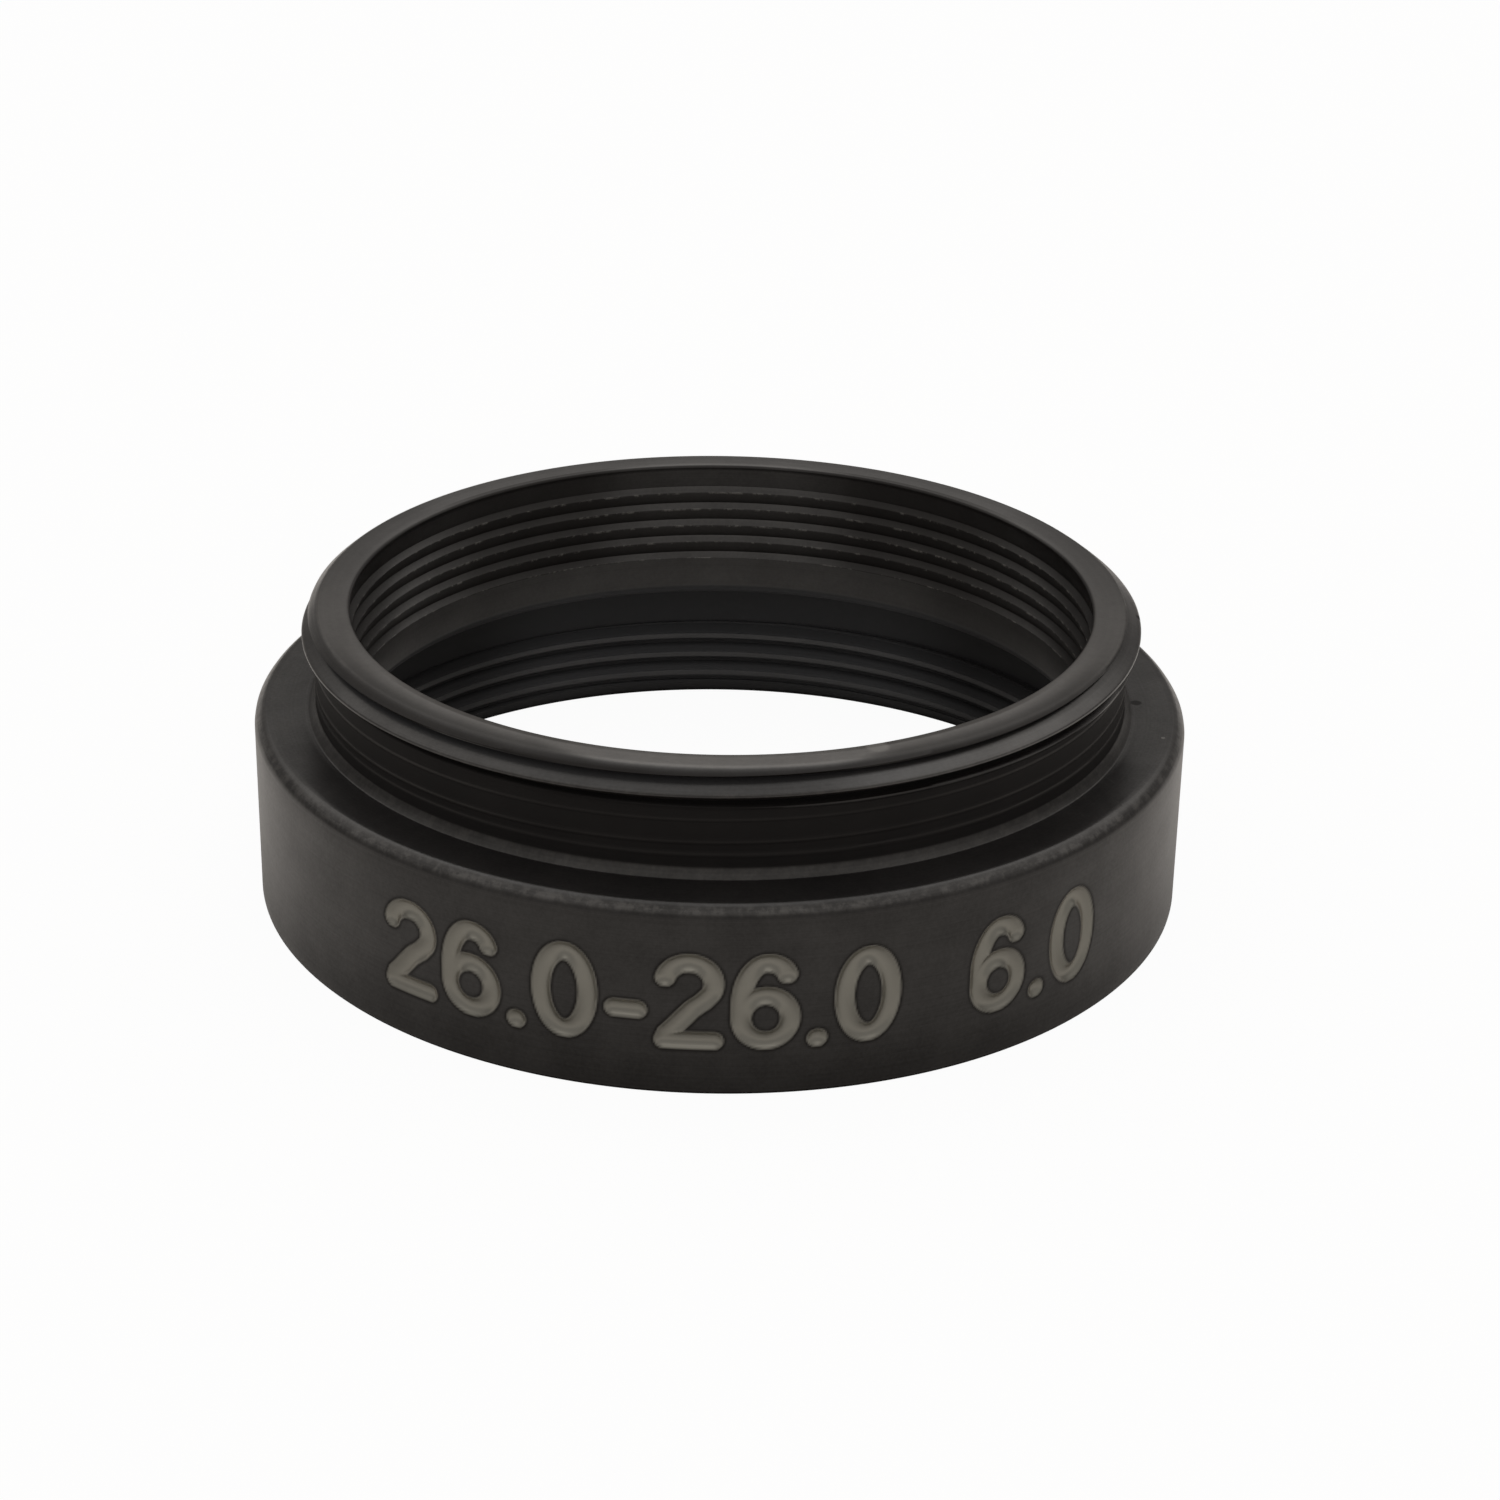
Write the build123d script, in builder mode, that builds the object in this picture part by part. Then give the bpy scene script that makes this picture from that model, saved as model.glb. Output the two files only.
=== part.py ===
"""Threaded spacer ring for optics: one turned piece of black anodised aluminium.

A short collar carries a male thread on a neck above it and takes a female thread of the
same size in a socket below it, so rings and lens barrels screw together end to end.

Units are millimetres. The origin is on the ring's axis, in the bottom face of the collar,
and +Z points up through the neck, towards the rim. Both threads are drawn as plain walls
at their crests, with their real lead-ins and run-outs.
"""

from build123d import *

import os
from math import radians, tan

# --- Thread, the same at both ends ------------------------------------------------------
thread_diameter = 26.0       # nominal size, over the crests of the male thread
thread_pitch = 0.7056        # 36 turns to the inch
male_depth_ratio = 0.6134    # depth of a 60 degree male thread, in pitches
female_depth_ratio = 0.5413  # depth of a 60 degree female thread, in pitches

# --- Collar: the wide band that fingers turn --------------------------------------------
collar_height = 6.0          # spacing that the ring adds between two barrels
shoulder_width = 1.55        # from the thread's crest out to the collar's side
shoulder_chamfer = 0.3       # upper outer edge
base_chamfer = 0.1           # lower outer edge

# --- Neck, with the male thread near its end --------------------------------------------
neck_height = 3.3            # from the shoulder to the rim
neck_over_root = 0.08        # the neck is turned to just outside the thread's root
foot_step = 0.22             # the foot's cone spreads this far out at the shoulder
foot_height = 0.27
land_length = 0.58           # full diameter part of the thread
land_runout = 0.2            # height of the cone from the neck out to the land
lead_in_width = 0.57         # end chamfer, from the thread's crest in to the rim
lead_in_height = 0.42

# --- Bore: light baffles above a plain band ---------------------------------------------
neck_wall = 1.15             # between the neck's side and the clear bore
rim_break = 0.06             # inner edge of the rim
rim_lip = 0.2                # lip left between the rim and the first groove
groove_count = 5
groove_pitch = 0.6
groove_depth = 0.18
rib_slope = 43.0             # of a rib's upper side; its lower side is the groove's long wall
first_groove_extra = 0.2     # the groove under the rim is this much wider
rib_edge = 0.03              # flat left on the edge of each rib
band_fillet = 0.4            # lower edge of the plain band

# --- Socket for the next ring's male thread ---------------------------------------------
socket_depth = 4.55
socket_thread_end = 2.9      # height at which the female thread runs out
relief_clearance = 0.1       # the run-out groove over the thread's crests
mouth_clearance = 0.58       # the mouth's chamfer over the thread's crests

# --- Worked out from the sizes above ----------------------------------------------------
thread_radius = thread_diameter / 2
collar_radius = thread_radius + shoulder_width
neck_radius = thread_radius - male_depth_ratio * thread_pitch + neck_over_root
bore_radius = neck_radius - neck_wall
socket_radius = thread_radius - female_depth_ratio * thread_pitch

rim_height = collar_height + neck_height
land_top = rim_height - lead_in_height
land_bottom = land_top - land_length
neck_top = land_bottom - land_runout


def circle_at(part, radius, height):
    """The one round edge of this radius at this height."""
    edges = part.edges().filter_by(GeomType.CIRCLE).filter_by_position(Axis.Z, height, height)
    return edges.sort_by(lambda edge: abs(edge.radius - radius))[0]


with BuildPart() as spacer_ring:
    # Turned blank: collar, foot, neck, run-out cone, thread land and lead-in
    with BuildSketch(Plane.XZ):
        with BuildLine():
            Polyline(
                (0, 0),
                (collar_radius, 0),
                (collar_radius, collar_height),
                (neck_radius + foot_step, collar_height),
                (neck_radius, collar_height + foot_height),
                (neck_radius, neck_top),
                (thread_radius, land_bottom),
                (thread_radius, land_top),
                (thread_radius - lead_in_width, rim_height),
                (0, rim_height),
                close=True,
            )
        make_face()
    revolve(axis=Axis.Z)
    chamfer(circle_at(spacer_ring, collar_radius, collar_height), shoulder_chamfer)
    chamfer(circle_at(spacer_ring, collar_radius, 0), base_chamfer)

    # Socket from below: threaded wall, run-out groove at its end, chamfered mouth
    from_below = (Align.CENTER, Align.CENTER, Align.MIN)
    Cylinder(socket_radius, socket_depth, align=from_below, mode=Mode.SUBTRACT)
    with Locations((0, 0, socket_thread_end)):
        Cylinder(
            thread_radius + relief_clearance,
            socket_depth - socket_thread_end,
            align=from_below,
            mode=Mode.SUBTRACT,
        )
    chamfer(
        circle_at(spacer_ring, socket_radius, 0),
        thread_radius + mouth_clearance - socket_radius,
    )

    # Clear bore from the socket's floor to the rim
    with Locations((0, 0, socket_depth)):
        Cylinder(bore_radius, rim_height - socket_depth, align=from_below, mode=Mode.SUBTRACT)
    fillet(circle_at(spacer_ring, bore_radius, socket_depth), band_fillet)
    chamfer(circle_at(spacer_ring, bore_radius, rim_height), rim_break)

    # Light baffles: ring grooves down from the lip, with hooked sharp ribs between them
    rib_rise = groove_depth * tan(radians(rib_slope))
    groove_top = rim_height - rim_lip
    with BuildSketch(Plane.XZ):
        for groove in range(groove_count):
            extra = first_groove_extra if groove == 0 else 0
            groove_bottom = groove_top - (groove_pitch - rib_edge) - extra
            Polygon(
                (bore_radius, groove_bottom),
                (bore_radius + groove_depth, groove_bottom + rib_rise),
                (bore_radius, groove_top),
                align=None,
            )
            groove_top = groove_bottom - rib_edge
    revolve(axis=Axis.Z, mode=Mode.SUBTRACT)

spacer_ring.part.label = "spacer_ring"

os.makedirs("parts", exist_ok=True)
export_step(spacer_ring.part, "parts/spacer_ring.step")
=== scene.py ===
"""A short threaded spacer ring for lens tubes, turned from one bar and anodised black."""

from math import ceil, cos, floor, radians, sin, tan

import bpy
import numpy as np
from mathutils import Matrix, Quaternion, Vector


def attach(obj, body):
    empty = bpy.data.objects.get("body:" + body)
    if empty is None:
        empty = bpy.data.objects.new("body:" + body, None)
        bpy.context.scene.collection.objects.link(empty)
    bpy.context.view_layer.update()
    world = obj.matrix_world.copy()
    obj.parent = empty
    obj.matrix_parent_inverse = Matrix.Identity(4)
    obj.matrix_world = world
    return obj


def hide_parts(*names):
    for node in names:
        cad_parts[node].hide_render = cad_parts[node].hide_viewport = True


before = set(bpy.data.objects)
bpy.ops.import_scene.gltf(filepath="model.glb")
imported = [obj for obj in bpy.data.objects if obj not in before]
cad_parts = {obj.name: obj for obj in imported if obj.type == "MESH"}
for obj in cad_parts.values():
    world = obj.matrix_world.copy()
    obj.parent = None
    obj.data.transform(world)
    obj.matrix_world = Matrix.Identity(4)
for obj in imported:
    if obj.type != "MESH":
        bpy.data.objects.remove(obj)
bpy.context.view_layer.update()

scene = bpy.context.scene
scene.view_settings.view_transform = "Standard"


# --- Table, light and camera ---------------------------------------------------------------
# The ring stands on its flat base in the middle of a matt white table. One wide weak lamp hangs
# over it and a little behind. The pale room does most of the work: its walls are bright high up
# and dim low down, and behind the ring the bright part reaches lower.

class Signal:
    """One output of a shader node. Arithmetic on it adds Math nodes."""

    def __init__(self, tree, socket=None):
        self.tree = tree
        self.socket = socket

    def node(self, kind, settings=None, inputs=None, output=0):
        """Adds a node: its settings come first, then the value or signal of each input."""
        added = self.tree.nodes.new(kind)
        for name, value in (settings or {}).items():
            setattr(added, name, value)
        for name, value in (inputs or {}).items():
            if isinstance(value, Signal):
                self.tree.links.new(value.socket, added.inputs[name])
            else:
                added.inputs[name].default_value = value
        return Signal(self.tree, added.outputs[output] if added.outputs else None)

    def math(self, operation, *values):
        return self.node("ShaderNodeMath", {"operation": operation}, dict(enumerate(values)))

    def __add__(self, other):
        return self.math("ADD", self, other)

    def __radd__(self, other):
        return self.math("ADD", other, self)

    def __sub__(self, other):
        return self.math("SUBTRACT", self, other)

    def __rsub__(self, other):
        return self.math("SUBTRACT", other, self)

    def __mul__(self, other):
        return self.math("MULTIPLY", self, other)

    def __rmul__(self, other):
        return self.math("MULTIPLY", other, self)

    def __pow__(self, other):
        return self.math("POWER", self, other)

    def most(self, other):
        """The larger of the two."""
        return self.math("MAXIMUM", self, other)

    def rise(self, low, high):
        """0 below low, 1 above high, with a smooth step between; high may be the lower one."""
        return self.node(
            "ShaderNodeMapRange",
            {"interpolation_type": "SMOOTHSTEP"},
            {"Value": self, "From Min": low, "From Max": high},
        )


white = (1.0, 1.0, 1.0, 1.0)

table_size = 3.0
table_colour = (0.70, 0.68, 0.66, 1.0)
seen_as_backdrop = 0.96          # how far the camera sees plain white in place of the lit table
mirrored_as_backdrop = 0.04      # the same for what the ring mirrors

half = table_size / 2
table_mesh = bpy.data.meshes.new("table")
table_mesh.from_pydata(
    [(-half, -half, 0), (half, -half, 0), (half, half, 0), (-half, half, 0)], [], [(0, 1, 2, 3)]
)
table = bpy.data.objects.new("table", table_mesh)
scene.collection.objects.link(table)
paint = bpy.data.materials.new("table_white")
paint.use_nodes = True
paint.node_tree.nodes.clear()
board = Signal(paint.node_tree)
lit = board.node("ShaderNodeBsdfDiffuse", {}, {"Color": table_colour})
backdrop = board.node("ShaderNodeEmission", {}, {"Color": white, "Strength": 1.0})
by_camera = board.node("ShaderNodeLightPath", output="Is Camera Ray")
by_mirror = board.node("ShaderNodeLightPath", output="Is Glossy Ray")
shown = board.node(
    "ShaderNodeMixShader",
    {},
    {0: by_camera * seen_as_backdrop + by_mirror * mirrored_as_backdrop, 1: lit, 2: backdrop},
)
board.node("ShaderNodeOutputMaterial", {}, {"Surface": shown})
table_mesh.materials.append(paint)

upper_walls = 1.20               # brightness of each part of the room
ceiling = 0.60
far_wall_foot = 0.20
near_wall_foot = 0.45
far_band = (0.37, 0.56)          # how high the bright part starts, as the sine of the elevation
near_band = (0.50, 0.85)
ceiling_band = (0.78, 1.0)
room_colour = (1.0, 0.957, 0.91, 1.0)
room = bpy.data.worlds.new("room")
room.use_nodes = True
room.node_tree.nodes.clear()
air = Signal(room.node_tree)
sky = air.node("ShaderNodeTexCoord", output="Generated")
up = air.node("ShaderNodeSeparateXYZ", {}, {0: sky}, output="Z")
behind = air.node("ShaderNodeSeparateXYZ", {}, {0: sky}, output="Y").rise(-0.4, 0.5)
wall_foot = near_wall_foot + (far_wall_foot - near_wall_foot) * behind
near_raised = up.rise(*near_band)
raised = near_raised + (up.rise(*far_band) - near_raised) * behind
brightness = wall_foot + (upper_walls - wall_foot) * raised
brightness = brightness + (ceiling - brightness) * up.rise(*ceiling_band)
walls = air.node("ShaderNodeBackground", {}, {"Color": room_colour, "Strength": brightness})
beyond = air.node("ShaderNodeBackground", {}, {"Color": white, "Strength": 1.0})
looked_at = air.node("ShaderNodeLightPath", output="Is Camera Ray")
around = air.node("ShaderNodeMixShader", {}, {0: looked_at, 1: walls, 2: beyond})
air.node("ShaderNodeOutputWorld", {}, {"Surface": around})
scene.world = room

lamp_width = 0.50
lamp_place = Vector((0, 0.15, 0.50))
lamp_power = 0.5
soft = bpy.data.lights.new("soft_lamp", "AREA")
soft.shape = "SQUARE"
soft.size = lamp_width
soft.energy = lamp_power
soft_lamp = bpy.data.objects.new("soft_lamp", soft)
soft_lamp.location = lamp_place
soft_lamp.rotation_euler = (-lamp_place).to_track_quat("-Z", "Y").to_euler()
scene.collection.objects.link(soft_lamp)

camera_place = Vector((0, -0.099068, 0.050633))
camera_target = Vector((0.000956, 0, 0.004020))
camera_roll = radians(1.009)
lens = bpy.data.cameras.new("camera")
lens.sensor_width = 36.0
lens.lens = 82.83
lens.clip_start = 0.005
camera = bpy.data.objects.new("camera", lens)
camera.location = camera_place
aimed = (camera_target - camera_place).to_track_quat("-Z", "Y")
camera.rotation_euler = (aimed @ Quaternion((0, 0, 1), camera_roll)).to_euler()
scene.collection.objects.link(camera)
scene.camera = camera


# --- Collar --------------------------------------------------------------------------------
# The ring is one piece of aluminium bar. The collar is its full width: a plain turned wall
# with eased edges, which stands on the base face and ends in the shoulder at the top.

# Sizes are in millimetres until the whole skin is closed. The skin is laid as rows of points
# round the axis, from the base out, up, over the rim, down the bore and out again.
columns = 288
bearing = np.linspace(90, 450, columns + 1)      # where each column stands; the last is the first
points = []
rows = []


def lay(radius, height, at=bearing[:-1]):
    """Adds one row of points, and returns their numbers with the first one again at the end."""
    turn = np.radians(at)
    radius = np.broadcast_to(radius, turn.shape)
    height = np.broadcast_to(height, turn.shape)
    start = len(points)
    points.extend(zip(radius * np.cos(turn), radius * np.sin(turn), height))
    row = list(range(start, start + len(turn)))
    return row + row[:1] if len(turn) == columns else row


def turned(*corners):
    """Lays the rows of a plain turned run. A corner is (radius, height, how far it is eased)."""
    path = [np.array(corner[:2], float) for corner in corners]
    laid = []
    for place, corner in enumerate(path):
        eased = corners[place][2]
        if not eased:
            laid.append(lay(*corner))
            continue
        before = path[place - 1] - corner
        after = path[place + 1] - corner
        start = corner + before / np.hypot(*before) * eased
        end = corner + after / np.hypot(*after) * eased
        for share in (0, 0.5, 1):
            rest = 1 - share
            laid.append(lay(*(rest ** 2 * start + 2 * share * rest * corner + share ** 2 * end)))
    rows.extend(laid)
    return laid


collar_radius = 14.55
collar_height = 6.0
base_chamfer = 0.1
shoulder_chamfer = 0.3
broken_edge = 0.03               # how far a crisp corner is eased
rubbed_edge = 0.12               # the same where hands rub
mouth_radius = 13.58
neck_radius = 12.647
foot_radius = 12.867
foot_top = 6.27
marks_low = 1.30                 # the band of the wall that carries the numbers
marks_high = 4.85

wall_low = turned(
    (mouth_radius + 0.1, 0, 0),
    (collar_radius - base_chamfer, 0, broken_edge),
    (collar_radius, base_chamfer, broken_edge),
    (collar_radius, 0.5, 0),
    (collar_radius, marks_low, 0),
)[-1]
wall_high = turned(
    (collar_radius, marks_high, 0),
    (collar_radius, collar_height - shoulder_chamfer, rubbed_edge),
    (collar_radius - shoulder_chamfer, collar_height, rubbed_edge),
    (14.0, collar_height, 0),
    (foot_radius + 0.2, collar_height, 0),
    (foot_radius, collar_height, broken_edge),
    (neck_radius, foot_top, broken_edge),
    (neck_radius, foot_top + 0.04, 0),
)[0]


# --- Numbers on the collar -----------------------------------------------------------------
# The sizes of the two threads and the length, as plain numbers. A round-nosed cutter has
# followed each stroke, so the strokes are round troughs with round ends, bare of black, and
# the skin beside them is scorched dull.

stroke_width = 0.57
stroke_depth = 0.15
bare_blend = 0.05                # from black skin to bare metal at a stroke's edge
scorch_width = 0.055
baseline = 1.78                  # the middle of the lowest strokes
figure_width = 1.40              # middle to middle of a figure's strokes
figure_height = 2.48
letter_gap = 0.20
word_gap = 2.05
marks_middle = 274.0             # bearing of the middle of the numbers, in degrees


def curve(middle, spread, start, end, steps=24):
    """Points along part of an ellipse, from one angle in degrees to another."""
    turn = np.radians(np.linspace(start, end, steps))
    return [(middle[0] + spread[0] * cos(a), middle[1] + spread[1] * sin(a)) for a in turn]


w, h = figure_width, figure_height
figures = {
    "0": (w, [curve((w / 2, h / 2), (w / 2, h / 2), 0, 360, 48)]),
    "2": (w, [
        curve((w / 2, h - 0.66), (w / 2, 0.66), 165, -28)
        + [(w * 0.80, h - 1.20), (w * 0.55, h - 1.48), (w * 0.22, 0.46), (w * 0.06, 0.22), (0, 0)]
        + [(w, 0)],
    ]),
    "6": (w, [
        curve((w / 2, 0.72), (w / 2, 0.72), 0, 360, 36),
        curve((w / 2 + 0.03, h - 0.55), (w / 2 - 0.10, 0.55), 18, 90)
        + curve((w / 2 + 0.03, 1.15), (w / 2 + 0.03, h - 1.15), 90, 180)
        + [(0, 0.72)],
    ]),
    ".": (0.02, [[(0, 0), (0.02, 0)]]),
    "-": (0.66, [[(0, 0.90), (0.66, 0.90)]]),
}

written = "26.0-26.0 6.0"
strokes = []
pen = 0.0
for mark in written:
    if mark == " ":
        pen += word_gap
        continue
    width, lines = figures[mark]
    for line in lines:
        placed = [(pen + x, y) for x, y in line]
        strokes.extend(zip(placed, placed[1:]))
    pen += width + stroke_width + letter_gap
written_length = pen - stroke_width - letter_gap


def from_stroke(along, up):
    """Distance of each point of the collar's wall from the middle of the nearest stroke."""
    nearest = np.full(np.broadcast(along, up).shape, np.inf)
    for (x0, y0), (x1, y1) in strokes:
        run, climb = x1 - x0, y1 - y0
        length = max(run * run + climb * climb, 1e-9)
        share = np.clip(((along - x0) * run + (up - y0) * climb) / length, 0, 1)
        nearest = np.minimum(nearest, np.hypot(along - x0 - share * run, up - y0 - share * climb))
    return nearest


fine = 6                         # fine columns to each plain one
fine_rows = 64
side_margin = 3                  # plain wall to either side of the numbers, in degrees
span = np.degrees(written_length / 2 / collar_radius) + side_margin
first = int(np.searchsorted(bearing, marks_middle - span)) - 1
last = int(np.searchsorted(bearing, marks_middle + span))
fine_bearing = np.linspace(bearing[first], bearing[last], (last - first) * fine + 1)
fine_height = np.linspace(marks_low, marks_high, fine_rows + 1)[:, None]
along = np.radians(fine_bearing - marks_middle) * collar_radius + written_length / 2
distance = from_stroke(along[None, :], fine_height - baseline)
cut = np.clip(1 - (2 * distance / stroke_width) ** 2, 0, 1)
bared = np.clip(0.5 + (stroke_width / 2 - distance) / bare_blend, 0, 1)
scorch = np.exp(-(((distance - stroke_width / 2) / scorch_width - 0.6) ** 2))
bare_share = {}
scorch_share = {}
marks = []
for level in range(fine_rows + 1):
    at_height = float(fine_height[level, 0])
    if level in (0, fine_rows):
        row = (wall_low if level == 0 else wall_high)[first:last + 1]
        between = [i for i in range(len(fine_bearing)) if i % fine]
        added = lay(collar_radius, at_height, fine_bearing[between])
        for i, corner in zip(between, added):
            row.insert(i, corner)
    else:
        row = lay(collar_radius - stroke_depth * cut[level], at_height, fine_bearing)
        bare_share.update(zip(row, bared[level]))
        scorch_share.update(zip(row, scorch[level]))
    marks.append(row)


# --- Neck and male thread --------------------------------------------------------------------
# Above the shoulder a short conical foot leads to the neck. The thread, 36 turns to the inch
# and right-handed, is full only on the land near the rim. Below the land the neck is turned
# plain, and only faint ridges of the thread are left. Above it the end is chamfered.

pitch = 0.7056
thread_radius = 13.0
root_radius = 12.47
flank = tan(radians(30))
crest_at_front = 8.67            # height of a crest at bearing 270
neck_top = 8.10
land_low = 8.30
land_high = 8.88
rim_height = 9.30
rim_radius = 12.52
neck_edges = (foot_top, neck_top, land_low, land_high, rim_height)
neck_radii = (neck_radius, neck_radius, thread_radius, thread_radius, rim_radius)
neck_start = 6.34
neck_end = 9.275
worn_from = (9.15, 9.24, 9.28)   # heights at which the rim's outer corner is rubbed back
worn_by = (0, 0.03, 0.11)
ridges_low = 6.60                # the last traces of the thread reach up the neck from here
ridges_high = 8.25
ridge_blend = 0.15
ridge_at_front = 7.07
ridge_height = 0.040
ridge_width = 0.050


def crest_offset(height, at, crest):
    """How far a point is, up or down, from the middle of the nearest crest."""
    return np.abs((height - crest - pitch * (at - 270) / 360 + pitch / 2) % pitch - pitch / 2)


def softer(a, b, blend):
    """The lower of two, blended where they meet, as where two cuts share a broken edge."""
    share = np.clip(0.5 + 0.5 * (b - a) / blend, 0, 1)
    return b + (a - b) * share - blend * share * (1 - share)


def rim_wear(at):
    """How far the rim's outer corner is rubbed back: 1 at the front, and little behind."""
    return 0.15 + 0.85 * np.clip(np.cos(np.radians(at - 270)), 0, 1) ** 2


def male_radius(height, at):
    """Radius of the neck and its thread at a height and a bearing."""
    turned_down = np.interp(height, neck_edges, neck_radii)
    turned_down = turned_down - rim_wear(at) * np.interp(height, worn_from, worn_by)
    offset = crest_offset(height, at, crest_at_front)
    proud = 0.02                 # the thread's flanks would meet the crest this far outside it
    thread = thread_radius + proud - (offset - pitch / 16 + proud * flank) / flank
    ridge = ridge_height * np.exp(-(crest_offset(height, at, ridge_at_front) / ridge_width) ** 2)
    plain = neck_radius - ridge_height + ridge
    below_top = np.clip((ridges_high - height) / ridge_blend, 0, 1)
    above_foot = np.clip((height - ridges_low) / ridge_blend, 0, 1)
    thread = np.maximum(thread, root_radius)
    thread = thread + (plain - thread) * below_top * above_foot
    thread = thread + (neck_radius - thread) * (height < ridges_low)
    return softer(turned_down, thread, broken_edge)


def thread_rows(low, high, crest, offsets, radius_at):
    """Rows between two plain heights. Each climbs with the thread, on one spot of its profile."""
    low_row = lay(radius_at(low, bearing[:-1]), low)
    high_row = lay(radius_at(high, bearing[:-1]), high)
    at_start = crest - pitch / 2
    first_turn = floor((low - at_start) / pitch) - 1
    last_turn = ceil((high - at_start) / pitch) + 1
    clear = 0.006                # a row this close to a plain one joins it
    climbing = []
    for turn in range(first_turn, last_turn + 1):
        for offset in offsets:
            height = at_start + (turn + offset) * pitch + pitch * (bearing - 90) / 360
            inside = (height > low + clear) & (height < high - clear)
            row = np.where(height <= low + clear, low_row, high_row)
            kept = np.flatnonzero(inside[:-1])
            if len(kept):
                at = bearing[kept]
                row[kept] = lay(radius_at(height[kept], at), height[kept], at)[: len(kept)]
            climbing.append(row)
    for place, row in enumerate(climbing):
        above = place + len(offsets)
        row[-1] = climbing[above][0] if above < len(climbing) else high_row[0]
    return [low_row, *(list(row) for row in climbing), high_row]


half_profile = (0.0, 0.034, 0.0625, 0.10, 0.16, 0.23, 0.31, 0.37, 0.405, 0.425, 0.45)
male_profile = sorted({*half_profile, 0.5, *(1 - share for share in half_profile[1:])})
rows.extend(thread_rows(neck_start, neck_end, crest_at_front, male_profile, male_radius))


# --- Rim and bore ----------------------------------------------------------------------------
# The flat rim at the top is narrow. Down from it the bore carries five ring grooves with
# knife-edged ribs between them, which stop light that grazes the wall, and then a plain band.

bore_radius = 11.497
rim_corner = ((0.005, 0.02, 0.14), (0, 0.04, 0.24))  # how far down, how far in, and in by wear
rim_break = 0.06
rim_break_ease = 0.015
rim_lip = 0.2
groove_count = 5
groove_width = 0.57
first_groove_extra = 0.2         # the groove under the rim is this much wider
groove_depth = 0.18
groove_ease = 0.012
rib_rise = 0.168                 # how far a rib's upper side climbs
rib_edge = 0.03
band_fillet = 0.4                # lower edge of the plain band
socket_depth = 4.55

for down, inward, by_wear in rim_corner:
    edge_radius = rim_radius - inward - by_wear * rim_wear(bearing[:-1])
    rows.append(lay(edge_radius, rim_height - down))
turned(
    (12.05, rim_height, 0),
    (11.8, rim_height, 0),
    (bore_radius + rim_break, rim_height, rim_break_ease),
    (bore_radius, rim_height - rim_break, rim_break_ease),
    (bore_radius, 9.17, 0),
)
groove_top = rim_height - rim_lip
for groove in range(groove_count):
    groove_bottom = groove_top - groove_width - (first_groove_extra if groove == 0 else 0)
    turned(
        (bore_radius, groove_top, 0),
        (bore_radius + groove_depth, groove_bottom + rib_rise, groove_ease),
        (bore_radius, groove_bottom, 0),
    )
    groove_top = groove_bottom - rib_edge
turned((bore_radius, 5.6, 0), (bore_radius, socket_depth + band_fillet, 0))
for turn in np.radians((22.5, 45, 67.5)):
    out = band_fillet * (1 - cos(turn))
    rows.append(lay(bore_radius + out, socket_depth + band_fillet * (1 - sin(turn))))


# --- Socket and female thread ----------------------------------------------------------------
# The lower half is a socket for the male thread of the next ring: a run-out groove at its
# inner end, the same thread cut inwards, and a chamfered mouth in the base face.

socket_radius = 12.618
socket_crest_at_rear = 2.52      # height of a crest at bearing 90
socket_crest = socket_crest_at_rear + pitch / 2
socket_start = 0.40
socket_end = 2.9
socket_blend = 0.02
relief_radius = 13.1


def female_radius(height, at):
    """Radius of the socket's wall and its thread at a height and a bearing."""
    mouth = np.interp(height, (0, mouth_radius - socket_radius), (mouth_radius, socket_radius))
    into_flank = (crest_offset(height, at, socket_crest) - pitch / 8) / flank
    thread = socket_radius + np.clip(into_flank, -socket_blend, thread_radius - socket_radius)
    return -softer(-mouth, -thread, socket_blend)


female_profile = (
    0.0, 0.095, 0.125, 0.16, 0.28, 0.40, 0.4375, 0.5625, 0.60, 0.72, 0.84, 0.875, 0.905
)
turned(
    (bore_radius + band_fillet, socket_depth, 0),
    (12.4, socket_depth, 0),
    (relief_radius, socket_depth, 0.06),
    (relief_radius, socket_end, 0.02),
    (thread_radius + 0.05, socket_end, 0),
)
socket_rows = thread_rows(socket_start, socket_end, socket_crest, female_profile, female_radius)
rows.extend(reversed(socket_rows))
turned((13.33, 0.25, 0), (mouth_radius, 0, broken_edge), (mouth_radius + 0.05, 0, 0))


# --- The whole skin --------------------------------------------------------------------------
# The rows are joined into one closed skin, and the numbers' fine rows take the place of the
# plain wall behind them. It stands for the turned solid, and is finished all over.

faces = []


def face(*corners):
    """Adds a face, without the corners where two rows share a point."""
    kept = [c for place, c in enumerate(corners) if c != corners[place - 1]]
    if len(set(kept)) > 2:
        faces.append(kept)


low_place = rows.index(wall_low)
for place, lower in enumerate(rows):
    upper = rows[(place + 1) % len(rows)]
    for column in range(columns):
        marked = first <= column < last
        if place == low_place and marked:
            continue
        under = [lower[column], lower[column + 1]]
        over = [upper[column + 1], upper[column]]
        part = slice((column - first) * fine, (column - first + 1) * fine + 1)
        if marked and place == low_place - 1:
            over = marks[0][part][::-1]
        if marked and place == low_place + 1:
            under = marks[-1][part]
        if place == low_place and column == first - 1:
            under = [lower[column]] + [row[0] for row in marks[:-1]]
        if place == low_place and column == last:
            over = [upper[column + 1]] + [row[-1] for row in marks[:0:-1]]
        face(*under, *over)
for lower, upper in zip(marks, marks[1:]):
    for column in range(len(fine_bearing) - 1):
        face(lower[column], lower[column + 1], upper[column + 1], upper[column])

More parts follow.
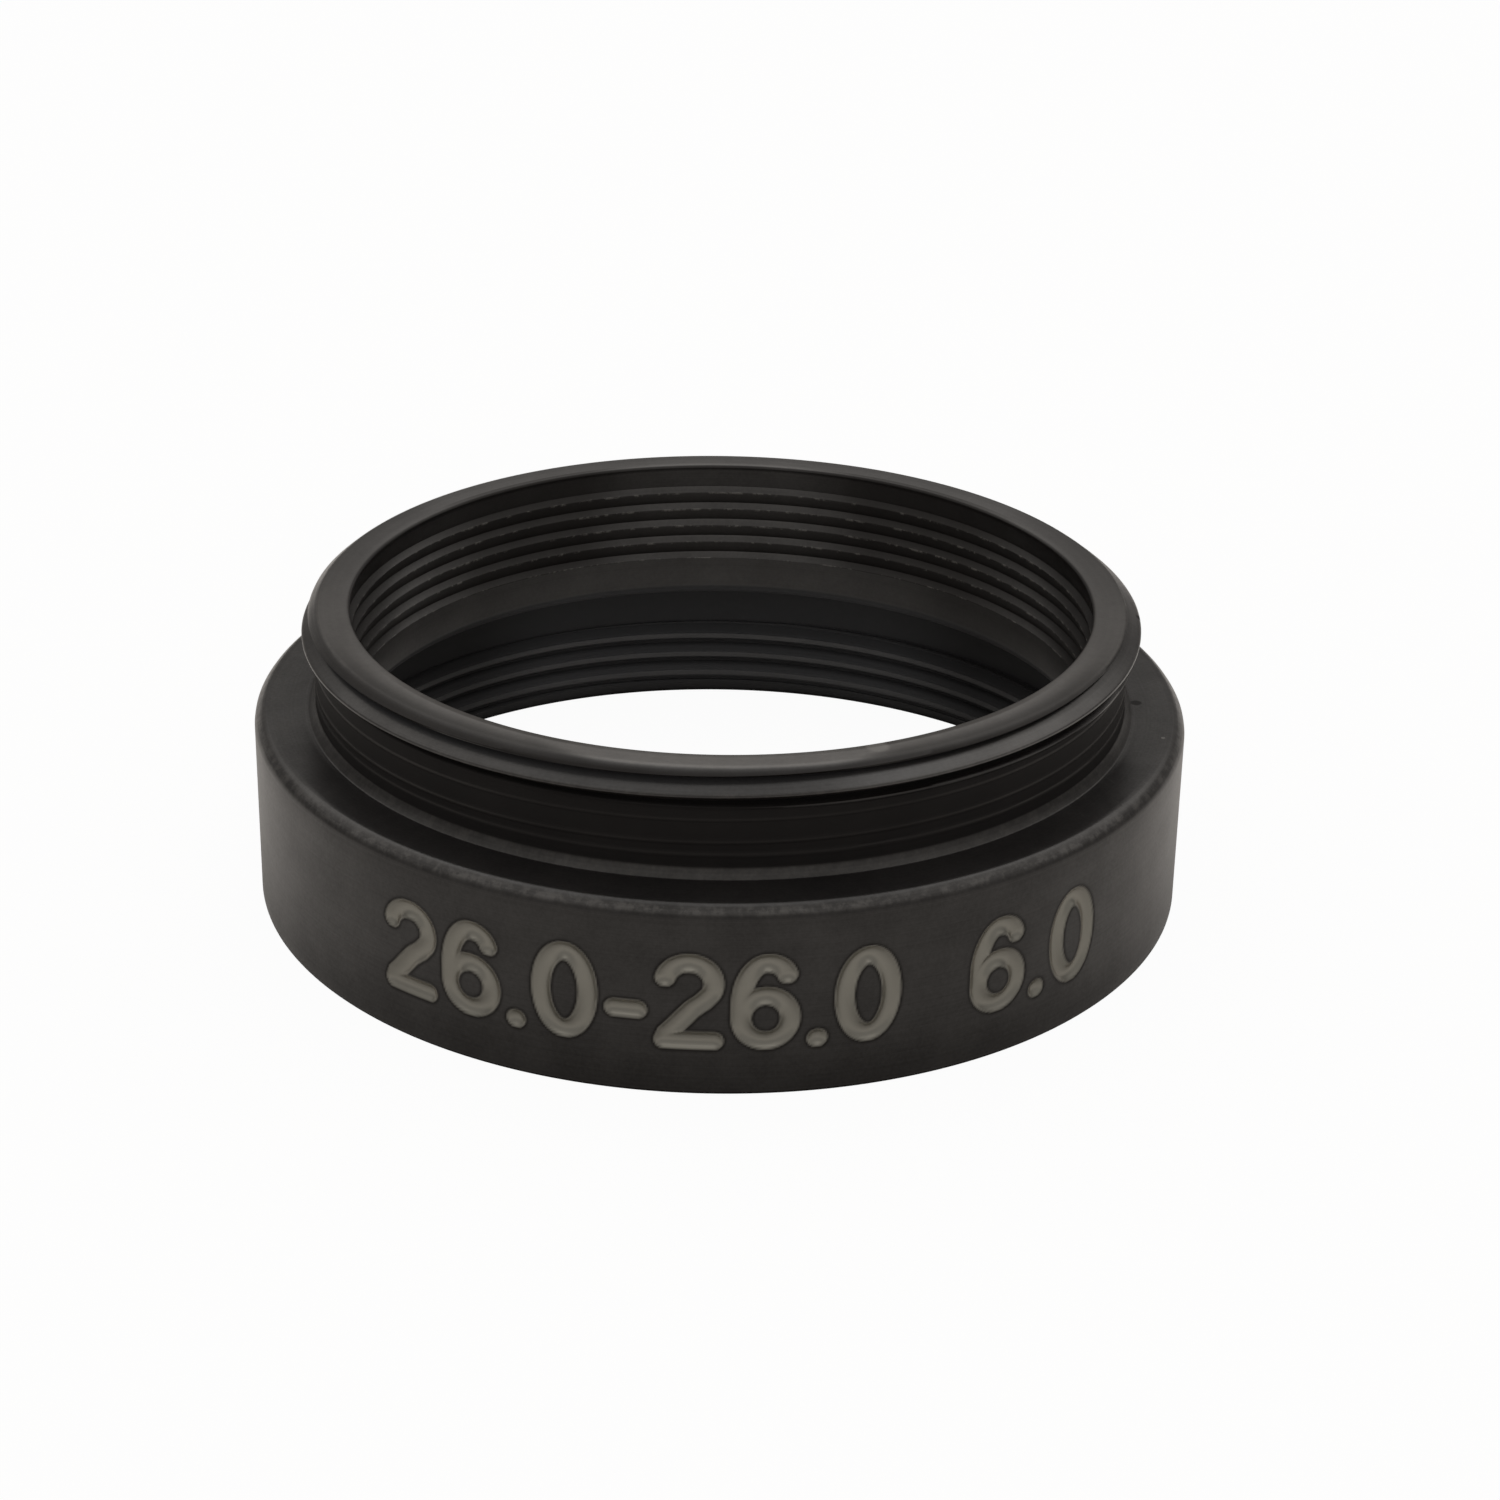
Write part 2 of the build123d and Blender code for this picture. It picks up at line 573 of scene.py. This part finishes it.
used = sorted({corner for corners in faces for corner in corners})
number = {old: new for new, old in enumerate(used)}
millimetre = 0.001
skin = bpy.data.meshes.new("spacer_ring_skin")
skin.from_pydata(
    [tuple(value * millimetre for value in points[old]) for old in used],
    [],
    [[number[corner] for corner in corners] for corners in faces],
)
for name, share in (("bare", bare_share), ("scorched", scorch_share)):
    spread = skin.attributes.new(name, "FLOAT", "POINT")
    spread.data.foreach_set("value", [float(share.get(old, 0.0)) for old in used])
sharp_from = radians(38)
skin.validate()
skin.shade_smooth()
skin.set_sharp_from_angle(angle=sharp_from)
ring = bpy.data.objects.new("spacer_ring_skin", skin)
scene.collection.objects.link(ring)
even = ring.modifiers.new("even_shading", "WEIGHTED_NORMAL")
even.keep_sharp = True
even.weight = 90


# --- Black anodised finish -------------------------------------------------------------------
# A satin black anodised skin, slightly warm, with the lathe's fine marks showing through it.
# Handling has rubbed the edges, and the numbers are cut through to the grey metal. The neck and
# the thread's roots carry painted shade: they are dark and have no coat. The socket, the neck,
# the shoulder and the last groove's root are lightened with a pale grey as painted fill light,
# and the coat is raised and lowered patch by patch as painted highlights and painted shade.

finish = bpy.data.materials.new("black_anodised")
finish.use_nodes = True
finish.node_tree.nodes.clear()
start = Signal(finish.node_tree)
place = start.node("ShaderNodeTexCoord", output="Object")
place = place.node(
    "ShaderNodeVectorMath", {"operation": "SCALE"}, {0: place, "Scale": 1 / millimetre}
)
east = place.node("ShaderNodeSeparateXYZ", {}, {0: place}, output="X")
north = place.node("ShaderNodeSeparateXYZ", {}, {0: place}, output="Y")
height = place.node("ShaderNodeSeparateXYZ", {}, {0: place}, output="Z")
sideways = east * east           # grows to either side of the middle, as seen from the front
radius = (sideways + north * north) ** 0.5
turned_to = north.math("ARCTAN2", north, east)
facing = start.node("ShaderNodeNewGeometry", output="Normal")
facing_up = start.node("ShaderNodeSeparateXYZ", {}, {0: facing}, output="Z")
bare = start.node("ShaderNodeAttribute", {"attribute_name": "bare"}, output="Fac")
scorched = start.node("ShaderNodeAttribute", {"attribute_name": "scorched"}, output="Fac")


def speckle(at, scale, detail, roughness):
    """Noise from 0 to 1 that varies with the place."""
    return at.node(
        "ShaderNodeTexNoise",
        {"noise_dimensions": "3D"},
        {"Vector": at, "Scale": scale, "Detail": detail, "Roughness": roughness},
    )


def near(signal, value, reach):
    """1 where the signal is at the value, and 0 from reach away."""
    away = signal - value
    return away.math("ABSOLUTE", away).rise(reach, 0.0)


def spot(across, along, reach):
    """A round mark on the shoulder or above it, round a place in millimetres from the axis."""
    away = ((east - across) * (east - across) + (north - along) * (north - along)) ** 0.5
    return (1 - away.rise(reach * 0.6, reach)) * height.rise(collar_height - 0.05, collar_height)


lathe_place = place.node("ShaderNodeCombineXYZ", {}, {"X": radius, "Y": height, "Z": 0.0})
grain = speckle(place, 9.0, 3.0, 0.6)
blotches = speckle(place, 0.55, 3.0, 0.6)
lathe_marks = speckle(lathe_place, 16.0, 3.0, 0.7)
rubbing = speckle(place, 3.2, 4.0, 0.65)
patches = rubbing.rise(0.40, 0.60)

# Where each part of the turned wall is: 1 there and 0 elsewhere, blended between two radii or
# two heights.
cone_slope = 1.143               # of the chamfered end, outward for each millimetre down
sunk = thread_radius - (height - land_high).most(0.0) * cone_slope - radius
overhung = 1 - facing_up.rise(-0.36, -0.10)
shoulder = near(height, collar_height, 0.02)
shoulder = shoulder * (1 - radius.rise(14.1, 14.3)) * radius.rise(12.8, 12.9)
foot = height.rise(5.99, 6.02) * (1 - height.rise(6.26, 6.33)) * radius.rise(12.4, 12.6)
top_edge = near(radius, 14.4, 0.24) * near(height, 5.85, 0.26)
neck_wall = (sunk - 0.11 * height.rise(neck_top, land_low)).rise(0.22, 0.36)
neck_wall = neck_wall * radius.rise(12.0, 12.2)
neck_wall = neck_wall * height.rise(6.26, 6.33) * (1 - height.rise(9.27, 9.29))
# Painted highlight: the neck's ridges count for more towards the sides, where they catch light.
ridges = neck_wall * radius.rise(12.615, 12.635) * (1 - height.rise(8.05, 8.15))
ridges = ridges * height.rise(6.62, 6.72) * (0.3 + 0.7 * sideways.rise(16.0, 80.0))
crests = radius.rise(12.93, 12.995) * height.rise(7.9, 8.2) * (1 - radius.rise(13.1, 13.2))
rim_flat = height.rise(9.27, 9.295)
# Painted highlight: the rim's outer corner is lighter at the sides, on top of its wear.
rim_edges = near(radius, 12.50, 0.07) * height.rise(9.25, 9.29)
rim_edges = rim_edges * (0.15 + 0.6 * sideways.rise(90.0, 130.0))
inner_break = (1 - radius.rise(11.56, 11.62)) * height.rise(9.22, 9.25)
lead_in = (1 - sunk.rise(0.02, 0.06)).most(height.rise(9.12, 9.18))
lead_in = lead_in * height.rise(land_high, 8.92)
land = radius.rise(12.60, 12.72) * height.rise(8.25, 8.35) * (1 - lead_in)
last_groove = sunk.rise(0.2, 0.4) * height.rise(8.75, 8.85)
last_groove = last_groove * (1 - rim_flat) * radius.rise(12.2, 12.3)
in_bore = 1 - radius.rise(11.7, 11.8)
ribs = in_bore * height.rise(5.9, 5.92)
flanks = ribs * facing_up.rise(0.3, 0.5)
rib_edges = (1 - radius.rise(11.498, 11.52)) * height.rise(5.9, 5.92)
rib_edges = rib_edges * (1 - height.rise(8.4, 8.5))
in_socket = (1 - height.rise(4.75, 5.0)) * (1 - radius.rise(13.3, 13.6))
plain_band = (1 - radius.rise(11.6, 11.7)) * (1 - height.rise(5.9, 5.95)) * (1 - in_socket)
valleys = radius.rise(12.66, 12.76) * (1 - radius.rise(13.15, 13.4))
valleys = valleys * (1 - height.rise(4.6, 5.2))
recess = neck_wall.most(valleys).most(overhung)

# The same for painted light and shade: the coat is made stronger or weaker only on some sides,
# as the light falls there.
off_middle = sideways.rise(8.0, 28.0)
lip_shade = radius.rise(12.30 - 0.60 * off_middle, 12.65 - 0.25 * off_middle)
lip_shade = lip_shade * lead_in.most(rim_flat) * north.rise(-2.0, -7.5)
land_glow = land * east.rise(2.0, 5.5) * (1 - 0.6 * east.rise(9.0, 11.5))
lead_in_left = lead_in * (1 - rim_flat) * east.rise(-10.5, -12.0)
rim_sides = rim_flat * sideways.rise(80.0, 130.0)
rib_painted_shade = ribs * sideways.rise(2.0, 24.0) * (1 - sideways.rise(60.0, 110.0))
bore_sides = in_bore * (1 - height.rise(9.2, 9.25)) * east.rise(4.0, 9.0)
bore_sides = bore_sides + 0.4 * plain_band * east.rise(-5.0, -9.0)
socket_sides = in_socket * sideways.rise(25.0, 80.0)

# Wear and small marks: a speck and a chip on the shoulder, fine hairs at its right, a chip on the
# rim, and bright bits on the edges of the ribs. The front of the rim is painted lighter as
# painted light.
lip_wear = near(turned_to, -2.96, 0.20) * crests * rubbing.rise(0.35, 0.55)
# The rubbed colour marks real wear on the edges and crests. On the rim's outer corner and the
# neck's ridges it is stronger at the sides, as painted highlights.
wear_and_highlights = top_edge * 0.6 + crests * 0.4 + rim_edges + foot * 0.3
wear_and_highlights = wear_and_highlights * rubbing.rise(0.42, 0.66) + ridges * 0.3 + lip_wear
# Painted light: the front half of the rim flat is lighter, in patches, and less so where the lip
# is shaded.
rim_front_light = rim_flat * north.rise(6.0, -8.0) * (1 - 0.85 * lip_shade)
pit = spot(13.05, -0.34, 0.22)
chip = spot(13.62, -2.93, 0.08) + 0.5 * spot(4.46, -10.90, 0.40) * rim_flat
hair_place = place.node(
    "ShaderNodeCombineXYZ", {}, {"X": east * 5.0 + north * 3.0, "Y": north, "Z": 0.0}
)
hairs = speckle(hair_place, 1.4, 3.0, 0.6).rise(0.60, 0.72)
hairs = hairs * near(turned_to, -0.55, 0.22) * shoulder
sparkle = rib_edges * speckle(place, 2.6, 3.0, 0.7).rise(0.50, 0.66) * 0.25

black = (0.0060, 0.0051, 0.0049, 1.0)
dull = (0.0085, 0.0074, 0.0070, 1.0)
fill_light_grey = (0.062, 0.064, 0.068, 1.0)
rubbed_and_lit = (0.040, 0.037, 0.034, 1.0)
metal = (0.32, 0.31, 0.29, 1.0)
grey = (0.235, 0.230, 0.205, 1.0)
pit_black = (0.0005, 0.0005, 0.0005, 1.0)


def mixed(share, one, other):
    """The one colour where the share is 0, and the other where it is 1."""
    return share.node(
        "ShaderNodeMix", {"data_type": "RGBA"}, {0: share, 6: one, 7: other}, output=2
    )


# Painted fill light: the neck, the shoulder, the socket and the last groove's root are lightened
# towards a pale grey, as light that reaches into them. It is weaker at the socket's sides, as
# painted shade.
painted_fill_light = (neck_wall + shoulder) * 0.09 + in_socket * (1 - 0.09 * neck_wall)
painted_fill_light = painted_fill_light.most(0.5 * last_groove)
colour = mixed(blotches.rise(0.35, 0.75), black, dull)
colour = mixed(painted_fill_light * (1 - 0.55 * socket_sides), colour, fill_light_grey)
colour = mixed(wear_and_highlights, colour, rubbed_and_lit)
colour = mixed(rim_front_light * (0.7 + 0.25 * patches), colour, rubbed_and_lit)
colour = mixed(sparkle + 0.35 * chip + 0.10 * hairs, colour, metal)
colour = mixed(pit, colour, pit_black)
colour = mixed(bare, colour, grey)

bare_roughness = 0.30
gloss = 0.30 + 0.08 * blotches + 0.06 * lathe_marks + 0.12 * wear_and_highlights + 0.25 * recess
gloss = gloss + bare * (bare_roughness - gloss)

# Sheen is the coat's weight. Beside the lathe marks, grain and blotches, it carries painted
# highlights: raised on the rim flat, the plain band, the ribs' upper flanks, the left of the
# lead-in cone and the right of the land. It carries painted shade too: lowered on the shoulder,
# the foot, the lower collar, the rim's inner edge and sides, the ribs off the middle, the front
# of the lip, and the sides of the bore and socket.
sheen = 0.38 + 0.12 * lathe_marks.rise(0.25, 0.75) + 0.12 * grain.rise(0.25, 0.75)
sheen = sheen + 0.12 * blotches.rise(0.3, 0.7)
sheen = sheen + 0.35 * rim_flat + 0.06 * flanks + 0.25 * plain_band + 0.10 * crests
sheen = sheen + 0.25 * patches * top_edge - 0.22 * shoulder - 0.15 * foot
sheen = sheen - 0.12 * height.rise(2.4, 0.4) * radius.rise(14.4, 14.5)
sheen = sheen * (1 - 0.68 * rib_painted_shade) * (1 - 0.5 * inner_break) * (1 - 0.35 * rim_sides)
sheen = sheen + 0.35 * lead_in_left + 0.40 * land_glow
sheen = sheen * (1 - 0.75 * lip_shade) * (1 - 0.5 * bore_sides) * (1 - 0.5 * socket_sides)
# Painted shade: no coat in the neck, the thread's valleys and faces that point down, less so on
# the neck's ridges.
sheen = sheen * (1 - recess * (1 - 0.35 * ridges))
sheen = sheen * (1 - bare) * (1 - pit) * (1 - 0.9 * scorched)

grain_height = 6e-6
relief = 0.45 * lathe_marks + 0.55 * grain
bumps = start.node(
    "ShaderNodeBump", {}, {"Strength": 0.35, "Distance": grain_height, "Height": relief}
)
shell = start.node(
    "ShaderNodeBsdfPrincipled",
    {},
    {
        "Base Color": colour,
        "Roughness": gloss,
        "Metallic": bare * 0.85,
        "IOR": 1.5,
        "Specular IOR Level": 0.1,
        "Specular Tint": (1.0, 0.96, 0.92, 1.0),
        "Coat Weight": sheen,
        "Coat Roughness": 0.28,
        "Coat IOR": 1.62,
        "Normal": bumps,
    },
)
start.node("ShaderNodeOutputMaterial", {}, {"Surface": shell})
skin.materials.append(finish)

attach(ring, "root")
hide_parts("spacer_ring")
